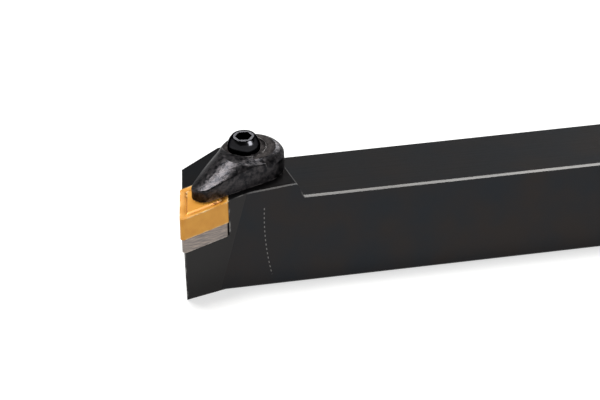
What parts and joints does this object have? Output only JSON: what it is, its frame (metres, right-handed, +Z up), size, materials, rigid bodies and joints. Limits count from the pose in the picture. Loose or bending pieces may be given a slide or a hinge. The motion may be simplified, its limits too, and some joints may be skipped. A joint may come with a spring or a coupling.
{
  "type": "turning tool holder",
  "caption": "External turning tool holder: black square steel shank with a gold 55 degree insert on a grey shim, held by a finger clamp with a domed socket screw.",
  "frame": {"origin": "on the shank's bottom face, on its centre line, at mid length of the nominal 150 mm", "axes": "+X along the shank to its rear end, -Y the side on which the cutting nose stands out, +Z up from the bottom face"},
  "size_m": [0.1496, 0.0316, 0.039],
  "materials": {
    "holder_steel": "milled alloy steel, black oxide, worn bright on the edges",
    "clamp_steel": "forged steel, black oxide, satin",
    "screw_steel": "alloy steel, black oxide, oiled and glossy",
    "insert_coating": "cemented carbide with a satin gold titanium nitride coating",
    "shim_carbide": "ground cemented carbide, uncoated grey",
    "spring_steel": "bright spring steel"
  },
  "bodies": {
    "holder": {"holder_body": "holder_steel", "shim": "shim_carbide", "shim_screw": "screw_steel", "insert": "insert_coating", "clamp_spring": "spring_steel"},
    "carrier": {"stop_ring": "spring_steel"},
    "clamp": {"clamp": "clamp_steel"},
    "screw": {"clamp_screw": "screw_steel"}
  },
  "joints": [
    {"name": "clamp_lift", "type": "slide", "parent": "holder", "child": "carrier", "axis": [-0.0923, -0.0923, 0.9914], "range_m": [0, 0.0025], "deforming": ["clamp_spring"]},
    {"name": "clamp_swivel", "type": "hinge", "parent": "carrier", "child": "clamp", "pos_m": [-0.05093, 0.00032, 0.02909], "axis": [-0.0923, -0.0923, 0.9914], "continuous": true},
    {"name": "screw_turn", "type": "hinge", "parent": "carrier", "child": "screw", "pos_m": [-0.05093, 0.00032, 0.02909], "axis": [-0.0923, -0.0923, 0.9914], "range_deg": [0, 901]}
  ],
  "couplings": [
    {"joint": "screw_turn", "follows": "clamp_lift", "rad_per_m": 6283.2}
  ]
}
